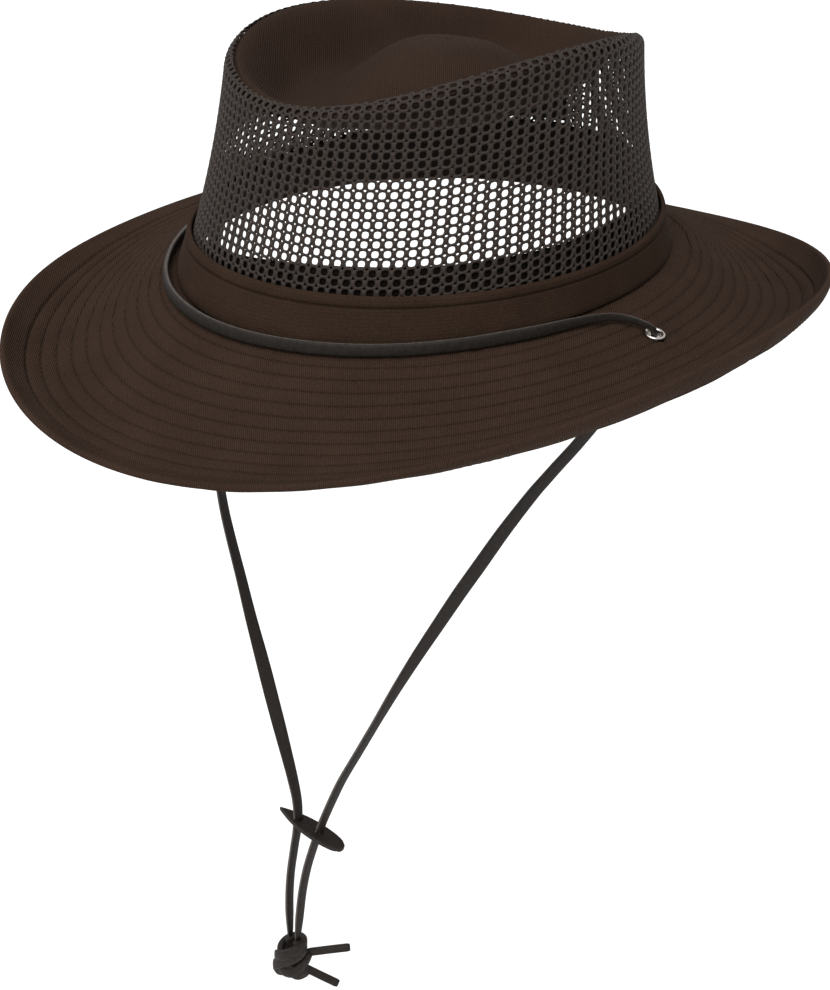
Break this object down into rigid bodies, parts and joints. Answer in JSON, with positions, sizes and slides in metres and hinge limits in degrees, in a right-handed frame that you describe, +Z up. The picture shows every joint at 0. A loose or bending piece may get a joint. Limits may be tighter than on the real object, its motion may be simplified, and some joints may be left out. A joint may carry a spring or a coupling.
{
  "type": "safari hat",
  "caption": "Brown safari hat with a see-through mesh crown, a dented cloth top, a quilted brim rolled up at the sides and a leather chin lace with slider and knot.",
  "frame": {"origin": "middle of the head opening at the joint of crown and brim, where the hat sits on a head", "axes": "+Z up out of the crown, -Y towards the front of the hat, +X towards the wearer's left"},
  "size_m": [0.2937, 0.3265, 0.4495],
  "materials": {
    "cloth": "matt brown ribbed cotton twill",
    "mesh": "grey-brown knitted net, slightly shiny yarn",
    "band_twill": "matt dark brown twill band",
    "sweatband": "matt dark brown woven band",
    "lining": "matt near-black cloth",
    "leather": "smooth near-black leather lace, soft sheen",
    "metal": "worn dark nickel"
  },
  "bodies": {
    "root": {"crown_top": "cloth", "crown_mesh": "mesh", "hat_band": "band_twill", "sweatband": "sweatband", "inner_patch": "lining", "brim": "cloth", "eyelet_left": "metal", "eyelet_right": "metal", "lace_crown": "leather", "lace_left": "leather", "lace_right": "leather", "tail_front": "leather", "tail_back": "leather", "slider": "leather", "knot": "leather"}
  },
  "joints": []
}
